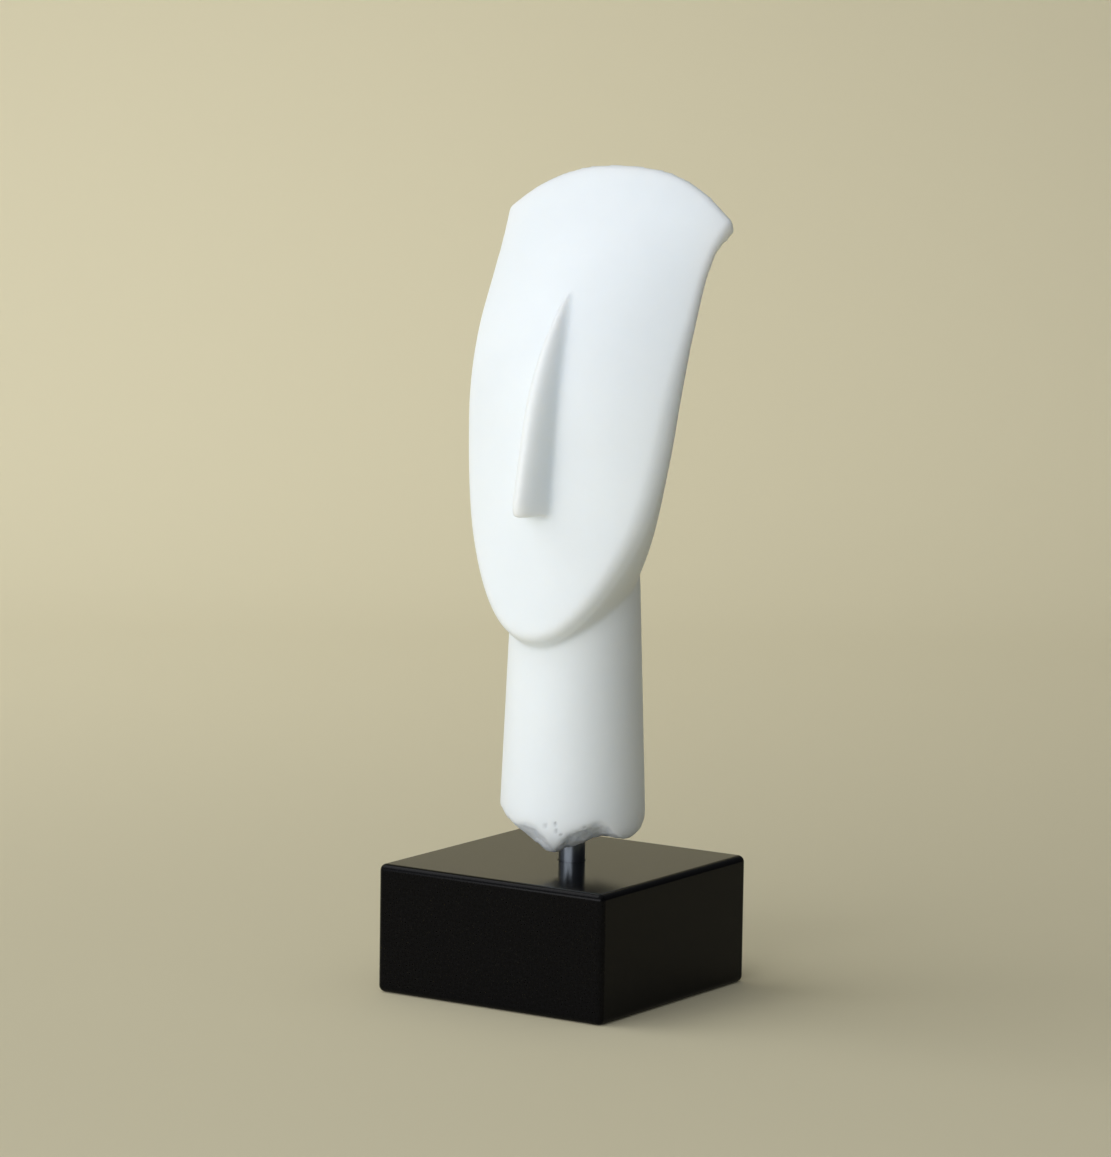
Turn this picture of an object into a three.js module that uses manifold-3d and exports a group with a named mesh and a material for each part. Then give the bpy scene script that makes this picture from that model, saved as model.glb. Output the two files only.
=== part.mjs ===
// Head of a Cycladic folded-arm figurine in white marble, broken off below the neck, standing
// on a steel rod in a polished black stone plinth. Lengths are in millimetres, Z points up and
// the face looks towards -Y. The origin is the middle of the plinth's underside.

import * as THREE from 'three';
import { mergeVertices } from 'three/addons/utils/BufferGeometryUtils.js';
import { LoftGeometry } from 'three/addons/geometries/LoftGeometry.js';
import { RoundedBoxGeometry } from 'three/addons/geometries/RoundedBoxGeometry.js';
import Module from 'manifold-3d';

const wasm = await Module();
wasm.setup();

// Plinth: a square block with rounded arrises
const PLINTH_WIDTH = 80;
const PLINTH_DEPTH = 80;
const PLINTH_HEIGHT = 39;
const PLINTH_ARRIS_RADIUS = 2;
const PLINTH_ARRIS_STEPS = 3;

// Rod that holds the figure up, and the bores that it sits in
const ROD_DIAMETER = 8;
const ROD_DEPTH_IN_PLINTH = 20;
const ROD_DEPTH_IN_NECK = 26;
const ROD_END_CHAMFER = 0.6;
const ROD_SIDES = 40;
const BORE_CLEARANCE = 0.3;

// Where the figure stands over the plinth: a little right of the middle and just behind it,
// with its lowest broken point clear of the stone
const FIGURE_RIGHT = 2.4;
const FIGURE_BACK = 0.85;
const FIGURE_LIFT = 3.5;

// The figure's own height, from the lowest point of the break to the crown. Its free forms are
// shares of this height, so that it keeps its proportions.
const FIGURE_HEIGHT = 204;
const share = (part) => part * FIGURE_HEIGHT;

// Outline of the face seen from the front: a parabola round the chin and jaws, a long curve up
// the cheeks to the temples, then a flare out to the corners of the crown
const CHIN_HEIGHT = share(0.318);
const CHIN_FULLNESS = 0.56;
const JAW_HEIGHT = share(0.46);
const JAW_HALF_WIDTH = share(0.1374);
const JAW_HANDLE = share(0.1036);
const TEMPLE_HEIGHT = share(0.7789);
const TEMPLE_HALF_WIDTH = share(0.1819);
const TEMPLE_HANDLE = share(0.0489);
const CORNER_HEIGHT = share(0.9292);
const CORNER_HALF_WIDTH = share(0.194);
const CORNER_HANDLE_IN = share(0.0183);
const CORNER_HANDLE_DOWN = share(0.056);

// The crown's top edge arches up between its corners
const ARCH_START_HEIGHT = share(0.674);
const ARCH_RISE = FIGURE_HEIGHT - CORNER_HEIGHT;
const ARCH_POWER = 2.42;

// Midline of the face seen from the side: nearly straight with a slight lean, then swept back
const CHIN_FORWARD = share(0.1245);
const FACE_LEAN = 0.1;
const SWEEP_START_HEIGHT = share(0.63);
const SWEEP_POWER = 2.038;
const CROWN_BACK = share(0.1167);

// The carving isn't quite even: the chin stands a little to the face's own right
const CHIN_DRIFT = share(-0.0035);
const CHIN_DRIFT_HEIGHTS = [share(0.3), share(0.55)];

// Curve of the face from cheek to cheek, which flattens towards the crown
const FACE_CURVE_RADIUS = share(0.2677);
const CROWN_CURVE_RADIUS = share(0.4569);
const FLATTEN_START_HEIGHT = share(0.797);

// Rounding of the face's rim: how far it reaches across the face at the jaw and at the crown,
// where it narrows, and how far back it goes for each unit across
const JAW_RIM_ROUNDING = share(0.016);
const CROWN_RIM_ROUNDING = share(0.0045);
const RIM_NARROWS_FROM = share(0.6);
const RIM_NARROWS_TO = share(0.9);
const RIM_DEPTH_RATIO = 1.1;

// Thickness of the head: full at the jaw, thin at the crown's edge, with a narrow side band
const JAW_THICKNESS = share(0.1927);
const CROWN_THICKNESS = share(0.0216);
const SIDE_BAND = share(0.012);
const SIDE_BAND_BEHIND_RIM = share(0.0015);
const SIDE_BAND_END_HEIGHT = share(0.885);
const THICKNESS_POWER = 2;
const THICKNESS_ROUNDING = 1.616;
const JAW_TILT = 13.57;
const CROWN_TILT = 51.4;
const TILT_START_HEIGHT = share(0.527);
const TILT_POWER = 1.413;

// How round the back is in plan: 0 gives an ellipse, 1 a flatter parabola. It changes between
// each pair of heights.
const BACK_FLATNESS_JAW = 0.2316;
const BACK_FLATNESS_CHEEK = 0.6778;
const BACK_FLATNESS_CROWN = 1;
const CHEEK_FLATNESS_HEIGHTS = [share(0.404), share(0.6)];
const CROWN_FLATNESS_HEIGHTS = [share(0.723), share(0.895)];

// Nose: a wedge that grows from a point on the forehead to a flat base with a rounded tip
const NOSE_BASE_HEIGHT = share(0.505);
const NOSE_TOP_HEIGHT = share(0.8235);
const NOSE_HALF_WIDTH = share(0.0221);
const NOSE_PROJECTION = share(0.0584);
const NOSE_WIDTH_POWER = 3.8;
const NOSE_PROJECTION_POWER = 0.55;
const NOSE_SECTION_POWER = 1.75;
const NOSE_TIP_HEIGHT = share(0.0165);
const NOSE_TIP_ROUNDING = 0.1;
const NOSE_ROOT = share(0.02);
const NOSE_DRIFT = share(-0.0025);

// Neck: a round column that widens a little downwards, rounded in under the break
const NECK_TOP_RADIUS = share(0.094);
const NECK_BASE_RADIUS = share(0.1066);
const NECK_BASE_HEIGHT = share(0.0662);
const NECK_SHOULDER_HEIGHT = share(0.4);
const NECK_TOP_HEIGHT = share(0.48);
const NECK_FOOT_HEIGHT = share(0.001);
const NECK_FOOT_RADIUS = share(0.055);
const NECK_BEND_HEIGHT = share(0.0135);
const NECK_BEND_RADIUS = share(0.0885);
const NECK_BEND_HANDLE_HEIGHT = share(0.024);
const NECK_BEND_HANDLE_RADIUS = share(0.1059);
const NECK_BASE_HANDLE_HEIGHT = share(0.0392);

// The break under the neck, round its axis from +X in degrees: heights of the broken surface at
// the neck's skin and at its inner ledge, as shares of the figure's height
const BREAK = [
  { bearing: -180, skin: 0.0564, ledge: 0.0343 },
  { bearing: -150, skin: 0.0637, ledge: 0.0343 },
  { bearing: -123, skin: 0.0549, ledge: 0.0262 },
  { bearing: -105, skin: 0.0495, ledge: 0.016 },
  { bearing: -96, skin: 0.0527, ledge: 0.0104 },
  { bearing: -88.5, skin: 0.0507, ledge: 0.0058 },
  { bearing: -85, skin: 0.0444, ledge: 0.0037 },
  { bearing: -78.5, skin: 0.0333, ledge: 0.0043 },
  { bearing: -75, skin: 0.0123, ledge: 0.0067 },
  { bearing: -72, skin: 0.0167, ledge: 0.0093 },
  { bearing: -64, skin: 0.0355, ledge: 0.0132 },
  { bearing: -52, skin: 0.0473, ledge: 0.017 },
  { bearing: -35.5, skin: 0.0583, ledge: 0.0248 },
  { bearing: -24, skin: 0.0451, ledge: 0.0298 },
  { bearing: -13, skin: 0.0306, ledge: 0.0291 },
  { bearing: 4, skin: 0.0279, ledge: 0.0244 },
  { bearing: 13, skin: 0.0343, ledge: 0.024 },
  { bearing: 22, skin: 0.0434, ledge: 0.025 },
  { bearing: 45, skin: 0.0456, ledge: 0.0295 },
  { bearing: 70, skin: 0.0436, ledge: 0.0302 },
  { bearing: 95, skin: 0.0407, ledge: 0.028 },
  { bearing: 120, skin: 0.049, ledge: 0.0333 },
  { bearing: 150, skin: 0.052, ledge: 0.0343 },
];
const BREAK_SKIN_RADIUS = share(0.1059);
const BREAK_LEDGE_RADIUS = share(0.0686);
const BREAK_HOLLOW_RADIUS = share(0.049);
const BREAK_HOLLOW_HEIGHT = share(0.034);

// Mesh fineness
const JAW_SECTIONS = 12;
const CHEEK_SECTIONS = 14;
const FLARE_SECTIONS = 12;
const FACE_STEPS = 24;
const NOSE_SECTIONS = 14;
const NOSE_STEPS = 16;
const NECK_SIDES = 48;
const NECK_BANDS = 6;
const PROFILE_STEPS = 6;
const MERGE_DISTANCE = 1e-4;

// Eased step from 0 to 1 between two heights
function ease(start, end, value) {
  return THREE.MathUtils.smoothstep(value, start, end);
}

// A closed geometry as a solid: shared corners merged, flattened triangles dropped
function solidOf(geometry) {
  const bare = new THREE.BufferGeometry().copy(geometry);
  bare.deleteAttribute('normal');
  bare.deleteAttribute('uv');
  const merged = mergeVertices(bare, MERGE_DISTANCE);
  const corners = merged.index.array;
  const kept = [];
  for (let i = 0; i < corners.length; i += 3) {
    const [a, b, c] = corners.slice(i, i + 3);
    if (a !== b && b !== c && c !== a) {
      kept.push(a, b, c);
    }
  }
  const mesh = new wasm.Mesh({
    numProp: 3,
    vertProperties: merged.attributes.position.array,
    triVerts: Uint32Array.from(kept),
  });
  return new wasm.Manifold(mesh);
}

function meshOf(name, solid, material) {
  const { vertProperties, triVerts } = solid.getMesh();
  const geometry = new THREE.BufferGeometry();
  geometry.setAttribute('position', new THREE.BufferAttribute(vertProperties, 3));
  geometry.setIndex(new THREE.BufferAttribute(triVerts, 1));
  geometry.computeVertexNormals();
  const mesh = new THREE.Mesh(geometry, material);
  mesh.name = name;
  return mesh;
}

// An upright round bar between two heights, with a chamfer at both ends
function bar(radius, bottom, top, chamfer) {
  const profile = [
    new THREE.Vector2(0, bottom),
    new THREE.Vector2(radius - chamfer, bottom),
    new THREE.Vector2(radius, bottom + chamfer),
    new THREE.Vector2(radius, top - chamfer),
    new THREE.Vector2(radius - chamfer, top),
    new THREE.Vector2(0, top),
  ];
  return new THREE.LatheGeometry(profile, ROD_SIDES).rotateX(Math.PI / 2);
}

// Depth (Y) of the face on its midline at a height
function midlineDepth(height) {
  const straight = -CHIN_FORWARD + FACE_LEAN * (height - CHIN_HEIGHT);
  const straightAtCrown = -CHIN_FORWARD + FACE_LEAN * (FIGURE_HEIGHT - CHIN_HEIGHT);
  const climbed = Math.max(height - SWEEP_START_HEIGHT, 0) / (FIGURE_HEIGHT - SWEEP_START_HEIGHT);
  return straight + (CROWN_BACK - straightAtCrown) * climbed ** SWEEP_POWER;
}

// Depth (Y) of the face at a point across it
function faceDepth(across, height) {
  const cheekBend = 1 / (2 * FACE_CURVE_RADIUS);
  const crownBend = 1 / (2 * CROWN_CURVE_RADIUS);
  const flattened = ease(FLATTEN_START_HEIGHT, FIGURE_HEIGHT, height);
  const bend = THREE.MathUtils.lerp(cheekBend, crownBend, flattened);
  return midlineDepth(height) + bend * across * across;
}

// Half width (X) and height (Y) of the face's edge, from the chin up to the crown's corner
function faceOutline() {
  const chin = new THREE.Vector2(0, CHIN_HEIGHT);
  const jaw = new THREE.Vector2(JAW_HALF_WIDTH, JAW_HEIGHT);
  const temple = new THREE.Vector2(TEMPLE_HALF_WIDTH, TEMPLE_HEIGHT);
  const corner = new THREE.Vector2(CORNER_HALF_WIDTH, CORNER_HEIGHT);
  const underChin = new THREE.Vector2(JAW_HALF_WIDTH * CHIN_FULLNESS, CHIN_HEIGHT);
  const jawDirection = jaw.clone().sub(underChin).normalize();
  const aboveJaw = jaw.clone().addScaledVector(jawDirection, JAW_HANDLE);
  const belowTemple = temple.clone().add(new THREE.Vector2(0, -TEMPLE_HANDLE));
  const aboveTemple = temple.clone().add(new THREE.Vector2(0, TEMPLE_HANDLE));
  const belowCorner = corner.clone().sub(new THREE.Vector2(CORNER_HANDLE_IN, CORNER_HANDLE_DOWN));
  const jawCurve = new THREE.QuadraticBezierCurve(chin, underChin, jaw);
  const cheekCurve = new THREE.CubicBezierCurve(jaw, aboveJaw, belowTemple, temple);
  const flareCurve = new THREE.CubicBezierCurve(temple, aboveTemple, belowCorner, corner);
  return [
    ...jawCurve.getSpacedPoints(JAW_SECTIONS),
    ...cheekCurve.getSpacedPoints(CHEEK_SECTIONS).slice(1),
    ...flareCurve.getSpacedPoints(FLARE_SECTIONS).slice(1),
  ];
}

// Places across a ring from its left end (-1) to its right end (1), closer at both ends
function stepsAcross() {
  const step = (_, i) => -Math.cos(Math.PI * i / FACE_STEPS);
  return Array.from({ length: FACE_STEPS + 1 }, step);
}

// A ring's height at a place across it: rings bend up in the middle towards the crown
function ringHeight(level, across) {
  const rise = ARCH_RISE * ease(ARCH_START_HEIGHT, CORNER_HEIGHT, level);
  return level + rise * (1 - Math.abs(across) ** ARCH_POWER);
}

// How far the face stands aside at a height
function chinDrift(height) {
  return CHIN_DRIFT * (1 - ease(...CHIN_DRIFT_HEIGHTS, height));
}

// The face's rim seen from the front, as lines up its right side and over the crown
function faceRim(outline) {
  const crown = stepsAcross().filter((across) => across >= 0).reverse().slice(1);
  const arc = crown.map((across) => (
    new THREE.Vector2(CORNER_HALF_WIDTH * across, ringHeight(CORNER_HEIGHT, across))));
  const points = [...outline, ...arc].map(({ x, y }) => new THREE.Vector3(x, y, 0));
  return points.slice(1).map((point, i) => new THREE.Line3(points[i], point));
}

// How far the rim's rounding reaches across the face at a height
function rimRounding(height) {
  const narrowed = ease(RIM_NARROWS_FROM, RIM_NARROWS_TO, height);
  return THREE.MathUtils.lerp(JAW_RIM_ROUNDING, CROWN_RIM_ROUNDING, narrowed);
}

// How far a point of the face is set back by the rounding of its rim
function rimSetback(x, z, rim) {
  const place = new THREE.Vector3(Math.abs(x), z, 0);
  const foot = new THREE.Vector3();
  const distances = rim.map((line) => (
    line.closestPointToPoint(place, true, foot).distanceTo(place)));
  const reach = rimRounding(z);
  const within = Math.max(reach - Math.min(...distances), 0) / reach;
  return reach * RIM_DEPTH_RATIO * (1 - Math.sqrt(1 - within ** 2));
}

// One ring of the head: across the face from left to right, then back round behind it, where
// the back lies along a tilted direction
function headSection(edge, rim) {
  const climbed = Math.max(edge.y - TILT_START_HEIGHT, 0) / (CORNER_HEIGHT - TILT_START_HEIGHT);
  const tilt = JAW_TILT + (CROWN_TILT - JAW_TILT) * climbed ** TILT_POWER;
  const backwards = new THREE.Vector3(0, 1, 0).applyAxisAngle(
    new THREE.Vector3(1, 0, 0), THREE.MathUtils.degToRad(-tilt));
  const upFace = (edge.y - CHIN_HEIGHT) / (CORNER_HEIGHT - CHIN_HEIGHT);
  const left = Math.max(1 - upFace ** THICKNESS_POWER, 0) ** (1 / THICKNESS_ROUNDING);
  const middle = CROWN_THICKNESS + (JAW_THICKNESS - CROWN_THICKNESS) * left;
  const behindRim = rimRounding(edge.y) * RIM_DEPTH_RATIO + SIDE_BAND_BEHIND_RIM;
  const sideBand = THREE.MathUtils.lerp(
    SIDE_BAND, CROWN_THICKNESS, ease(SIDE_BAND_END_HEIGHT, CORNER_HEIGHT, edge.y));
  const band = Math.max(sideBand, behindRim);
  const lowFlatness = THREE.MathUtils.lerp(
    BACK_FLATNESS_JAW, BACK_FLATNESS_CHEEK, ease(...CHEEK_FLATNESS_HEIGHTS, edge.y));
  const flatness = THREE.MathUtils.lerp(
    lowFlatness, BACK_FLATNESS_CROWN, ease(...CROWN_FLATNESS_HEIGHTS, edge.y));

  const front = [];
  const back = [];
  for (const across of stepsAcross()) {
    const x = edge.x * across;
    const z = ringHeight(edge.y, across);
    const inside = 1 - across * across;
    const roundness = flatness * inside + (1 - flatness) * Math.sqrt(inside);
    const thickness = band + (middle - band) * roundness;
    const depth = faceDepth(x, z);
    const aside = x + chinDrift(z);
    const behind = new THREE.Vector3(aside, depth, z).addScaledVector(backwards, thickness);
    front.push(new THREE.Vector3(aside, depth + rimSetback(x, z, rim), z));
    back.unshift(behind);
  }
  return [...front, ...back];
}

// A ring drawn together into a line halfway through its thickness, which closes the crown
function closedSection(section) {
  return section.map((point, i) => {
    const opposite = section[section.length - 1 - i];
    return point.clone().add(opposite).divideScalar(2);
  });
}

function headSolid() {
  const outline = faceOutline();
  const rim = faceRim(outline);
  const sections = outline.map((edge) => headSection(edge, rim));
  sections.push(closedSection(sections.at(-1)));
  return solidOf(new LoftGeometry(sections));
}

function noseSection(height) {
  const down = (NOSE_TOP_HEIGHT - height) / (NOSE_TOP_HEIGHT - NOSE_BASE_HEIGHT);
  const halfWidth = NOSE_HALF_WIDTH * (1 - (1 - down) ** NOSE_WIDTH_POWER);
  const tip = Math.max(1 - (height - NOSE_BASE_HEIGHT) / NOSE_TIP_HEIGHT, 0);
  const rounded = 1 - NOSE_TIP_ROUNDING * tip ** 2;
  const projection = NOSE_PROJECTION * down ** NOSE_PROJECTION_POWER * rounded;
  const aside = NOSE_DRIFT * down;
  const power = 2 / NOSE_SECTION_POWER;
  const section = [];
  for (let i = 0; i <= NOSE_STEPS; i += 1) {
    const angle = Math.PI * i / NOSE_STEPS;
    const cosine = Math.cos(angle);
    const x = -halfWidth * Math.sign(cosine) * Math.abs(cosine) ** power;
    const out = projection * Math.sin(angle) ** power;
    section.push(new THREE.Vector3(x + aside, faceDepth(x, height) - out, height));
  }
  for (const side of [1, -1]) {
    const x = halfWidth * side;
    section.push(new THREE.Vector3(x + aside, faceDepth(x, height) + NOSE_ROOT, height));
  }
  return section;
}

// Sections stand closer towards the top, where the nose fades into the forehead
function noseSolid() {
  const sections = [];
  for (let i = 0; i <= NOSE_SECTIONS; i += 1) {
    const climbed = 1 - (1 - i / NOSE_SECTIONS) ** 2;
    sections.push(noseSection(THREE.MathUtils.lerp(NOSE_BASE_HEIGHT, NOSE_TOP_HEIGHT, climbed)));
  }
  return solidOf(new LoftGeometry(sections, { capStart: true }));
}

// Profile of the neck as radius and height: under the break, up the column, closed in the head
function neckProfile() {
  const profile = new THREE.Path();
  profile.moveTo(0, NECK_FOOT_HEIGHT);
  profile.lineTo(NECK_FOOT_RADIUS, NECK_FOOT_HEIGHT);
  profile.lineTo(NECK_BEND_RADIUS, NECK_BEND_HEIGHT);
  profile.bezierCurveTo(
    NECK_BEND_HANDLE_RADIUS, NECK_BEND_HANDLE_HEIGHT,
    NECK_BASE_RADIUS, NECK_BASE_HANDLE_HEIGHT,
    NECK_BASE_RADIUS, NECK_BASE_HEIGHT);
  for (let i = 1; i <= NECK_BANDS; i += 1) {
    const climbed = i / NECK_BANDS;
    profile.lineTo(
      THREE.MathUtils.lerp(NECK_BASE_RADIUS, NECK_TOP_RADIUS, climbed),
      THREE.MathUtils.lerp(NECK_BASE_HEIGHT, NECK_SHOULDER_HEIGHT, climbed));
  }
  profile.quadraticCurveTo(NECK_TOP_RADIUS, NECK_TOP_HEIGHT, 0, NECK_TOP_HEIGHT);
  return profile.getPoints(PROFILE_STEPS);
}

function neckSolid() {
  const column = new THREE.LatheGeometry(neckProfile(), NECK_SIDES).rotateX(Math.PI / 2);
  return solidOf(column);
}

// Everything below the break: rings from under the neck, out past its skin, then in over the
// ledge to the hollow round the rod. Past the skin the broken surface goes on at its own slope.
function breakSolid(hollowRadius) {
  const outside = 2 * BREAK_SKIN_RADIUS - BREAK_LEDGE_RADIUS;
  const ring = (radius, heightAt) => BREAK.map((row) => {
    const bearing = THREE.MathUtils.degToRad(row.bearing);
    return new THREE.Vector3(
      radius * Math.cos(bearing), radius * Math.sin(bearing), heightAt(row));
  });
  const beyondSkin = (row) => share(2 * row.skin - row.ledge);
  const sections = [
    ring(outside, () => -FIGURE_LIFT),
    ring(outside, beyondSkin),
    ring(BREAK_SKIN_RADIUS, (row) => share(row.skin)),
    ring(BREAK_LEDGE_RADIUS, (row) => share(row.ledge)),
    ring(BREAK_HOLLOW_RADIUS, (row) => share(row.ledge)),
    ring(hollowRadius, () => BREAK_HOLLOW_HEIGHT),
  ];
  return solidOf(new LoftGeometry(sections, { capStart: true, capEnd: true }));
}

// The whole figure in its own frame: neck axis on Z, lowest point of the break near height 0
function figureSolid() {
  const boreRadius = ROD_DIAMETER / 2 + BORE_CLEARANCE;
  const boreTop = ROD_DEPTH_IN_NECK + BORE_CLEARANCE;
  const bore = solidOf(bar(boreRadius, -FIGURE_LIFT, boreTop, ROD_END_CHAMFER));
  const neck = neckSolid().subtract(breakSolid(boreRadius)).subtract(bore);
  return headSolid().add(noseSolid()).add(neck);
}

// The plinth with its top at height 0 and the rod's blind bore in it
function plinthSolid() {
  const block = new RoundedBoxGeometry(
    PLINTH_WIDTH, PLINTH_DEPTH, PLINTH_HEIGHT, PLINTH_ARRIS_STEPS, PLINTH_ARRIS_RADIUS);
  block.translate(0, 0, -PLINTH_HEIGHT / 2);
  const boreRadius = ROD_DIAMETER / 2 + BORE_CLEARANCE;
  const boreBottom = -ROD_DEPTH_IN_PLINTH - BORE_CLEARANCE;
  const bore = bar(boreRadius, boreBottom, PLINTH_ARRIS_RADIUS, ROD_END_CHAMFER);
  bore.translate(FIGURE_RIGHT, FIGURE_BACK, 0);
  return solidOf(block).subtract(solidOf(bore));
}

const marble = new THREE.MeshStandardMaterial({ color: 0xeef1ee, roughness: 0.5, metalness: 0 });
const steel = new THREE.MeshStandardMaterial({ color: 0xb4babf, roughness: 0.35, metalness: 1 });
const blackStone = new THREE.MeshStandardMaterial({ color: 0x141416, roughness: 0.1, metalness: 0 });

const head = meshOf('marble_head', figureSolid(), marble);
head.position.set(FIGURE_RIGHT, FIGURE_BACK, PLINTH_HEIGHT + FIGURE_LIFT);

const rodTop = FIGURE_LIFT + ROD_DEPTH_IN_NECK;
const rodSolid = solidOf(bar(ROD_DIAMETER / 2, -ROD_DEPTH_IN_PLINTH, rodTop, ROD_END_CHAMFER));
const rod = meshOf('steel_rod', rodSolid, steel);
rod.position.set(FIGURE_RIGHT, FIGURE_BACK, PLINTH_HEIGHT);

const plinth = meshOf('stone_plinth', plinthSolid(), blackStone);
plinth.position.set(0, 0, PLINTH_HEIGHT);

const figurine = new THREE.Group();
figurine.add(plinth, rod, head);

export default figurine;
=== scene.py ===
import math

import bmesh
import bpy
from bpy.props import FloatProperty, FloatVectorProperty, PointerProperty
from bpy.types import Operator, Panel, PropertyGroup
from mathutils import Matrix, Vector, noise
from mathutils.geometry import interpolate_bezier, intersect_point_line
from mathutils.kdtree import KDTree


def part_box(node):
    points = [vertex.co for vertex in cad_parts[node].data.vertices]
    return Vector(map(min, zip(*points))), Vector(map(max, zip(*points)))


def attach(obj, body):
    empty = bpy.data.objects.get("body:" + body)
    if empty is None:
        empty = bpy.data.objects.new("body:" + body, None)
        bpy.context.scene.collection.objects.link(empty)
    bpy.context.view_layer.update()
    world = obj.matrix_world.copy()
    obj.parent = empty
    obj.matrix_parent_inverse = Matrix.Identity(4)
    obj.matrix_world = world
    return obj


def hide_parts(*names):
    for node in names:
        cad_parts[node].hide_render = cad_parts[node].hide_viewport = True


bl_info = {
    "name": "Cycladic figurine head",
    "version": (1, 0, 0),
    "blender": (4, 5, 0),
    "location": "View3D > Sidebar > Figurine",
    "description": "A marble head on a steel rod and a black stone plinth",
    "category": "Add Mesh",
}

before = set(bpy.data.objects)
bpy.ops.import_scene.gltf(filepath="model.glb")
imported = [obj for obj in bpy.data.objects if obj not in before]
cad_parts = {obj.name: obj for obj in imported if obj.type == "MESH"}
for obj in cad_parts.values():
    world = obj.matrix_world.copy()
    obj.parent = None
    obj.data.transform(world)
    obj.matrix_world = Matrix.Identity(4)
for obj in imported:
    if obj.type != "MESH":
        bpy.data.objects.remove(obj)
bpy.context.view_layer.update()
PLINTH_LOW, PLINTH_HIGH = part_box("stone_plinth")
ROD_LOW, ROD_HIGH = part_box("steel_rod")
PLINTH_SIZE = PLINTH_HIGH - PLINTH_LOW
ROD_SIZE = ROD_HIGH - ROD_LOW
NECK_AXIS = (ROD_LOW + ROD_HIGH) / 2

# The figure's free forms are shares of its own height, measured from the lowest point of the
# break, with the neck's axis at X 0, Y 0. The face looks towards -Y.
CHIN_HEIGHT = 0.318
CHIN_FULLNESS = 0.56
CHIN_DRIFT = -0.0035
CHIN_DRIFT_HEIGHTS = (0.3, 0.55)
JAW_HEIGHT = 0.46
JAW_HALF_WIDTH = 0.1374
JAW_HANDLE = 0.1036
TEMPLE_HEIGHT = 0.7789
TEMPLE_HALF_WIDTH = 0.1819
TEMPLE_HANDLE = 0.0489
CORNER_HEIGHT = 0.9292
CORNER_HALF_WIDTH = 0.194
CORNER_HANDLE_IN = 0.0183
CORNER_HANDLE_DOWN = 0.056
ARCH_START_HEIGHT = 0.674
ARCH_RISE = 1 - CORNER_HEIGHT
ARCH_POWER = 2.42

CHIN_FORWARD = 0.1245
FACE_LEAN = 0.1
SWEEP_START_HEIGHT = 0.63
SWEEP_POWER = 2.038
CROWN_BACK = 0.1167
FACE_CURVE_RADIUS = 0.2677
CROWN_CURVE_RADIUS = 0.4569
FLATTEN_START_HEIGHT = 0.797

# Rounding of the face's rim: how far it reaches across the face, where it narrows, and how far
# back it goes for each unit across
JAW_RIM_ROUNDING = 0.016
CROWN_RIM_ROUNDING = 0.0045
RIM_NARROWS = (0.6, 0.9)
RIM_DEPTH_RATIO = 1.1

JAW_THICKNESS = 0.1927
CROWN_THICKNESS = 0.0216
SIDE_BAND = 0.012
SIDE_BAND_BEHIND_RIM = 0.0015
SIDE_BAND_END_HEIGHT = 0.885
THICKNESS_POWER = 2
THICKNESS_ROUNDING = 1.616
JAW_TILT = math.radians(13.57)
CROWN_TILT = math.radians(51.4)
TILT_START_HEIGHT = 0.527
TILT_POWER = 1.413
BACK_FLATNESS_JAW = 0.2316
BACK_FLATNESS_CHEEK = 0.6778
BACK_FLATNESS_CROWN = 1.0
CHEEK_FLATNESS_HEIGHTS = (0.404, 0.6)
CROWN_FLATNESS_HEIGHTS = (0.723, 0.895)

NOSE_BASE_HEIGHT = 0.505
NOSE_TOP_HEIGHT = 0.8235
NOSE_HALF_WIDTH = 0.0221
NOSE_PROJECTION = 0.0584
NOSE_WIDTH_POWER = 3.8
NOSE_PROJECTION_POWER = 0.55
NOSE_SECTION_POWER = 1.75
NOSE_TIP_HEIGHT = 0.0165
NOSE_TIP_ROUNDING = 0.1
NOSE_ROOT = 0.02
NOSE_DRIFT = -0.0025

NECK_TOP_RADIUS = 0.094
NECK_BASE_RADIUS = 0.1066
NECK_BASE_HEIGHT = 0.0662
NECK_SHOULDER_HEIGHT = 0.4
NECK_TOP_HEIGHT = 0.48
NECK_FOOT_HEIGHT = 0.001
NECK_FOOT_RADIUS = 0.055
NECK_BEND = (0.0885, 0.0135)
NECK_BEND_HANDLE = (0.1059, 0.024)
NECK_BASE_HANDLE = (0.1066, 0.0392)

# The break under the neck: bearing in degrees round its axis from +X, then the heights of the
# broken surface at the neck's skin and at its inner ledge, with the shape of its ragged grain
BREAK = (
    (-180, 0.0564, 0.0343),
    (-150, 0.0637, 0.0343),
    (-134, 0.0627, 0.0307),
    (-123, 0.0549, 0.0262),
    (-111.5, 0.0478, 0.0199),
    (-105, 0.0495, 0.016),
    (-96, 0.0527, 0.0104),
    (-88.5, 0.0507, 0.0058),
    (-85, 0.0444, 0.0037),
    (-81, 0.0387, 0.0033),
    (-78.5, 0.0333, 0.0043),
    (-77, 0.0225, 0.0049),
    (-75, 0.0123, 0.0067),
    (-72, 0.0167, 0.0093),
    (-68, 0.026, 0.0113),
    (-64, 0.0355, 0.0132),
    (-59, 0.0429, 0.0148),
    (-52, 0.0473, 0.017),
    (-44, 0.0544, 0.0201),
    (-35.5, 0.0583, 0.0248),
    (-29.5, 0.0547, 0.0277),
    (-24, 0.0451, 0.0298),
    (-18, 0.0368, 0.0294),
    (-13, 0.0306, 0.0291),
    (-6, 0.0275, 0.0274),
    (4, 0.0279, 0.0244),
    (13, 0.0343, 0.024),
    (22, 0.0434, 0.025),
    (45, 0.0456, 0.0295),
    (70, 0.0436, 0.0302),
    (95, 0.0407, 0.028),
    (120, 0.049, 0.0333),
    (150, 0.052, 0.0343),
    (180, 0.0564, 0.0343),
)
BREAK_SKIN_RADIUS = 0.1059
BREAK_LEDGE_RADIUS = 0.0686
BREAK_HOLLOW = (0.021, 0.049)
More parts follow.
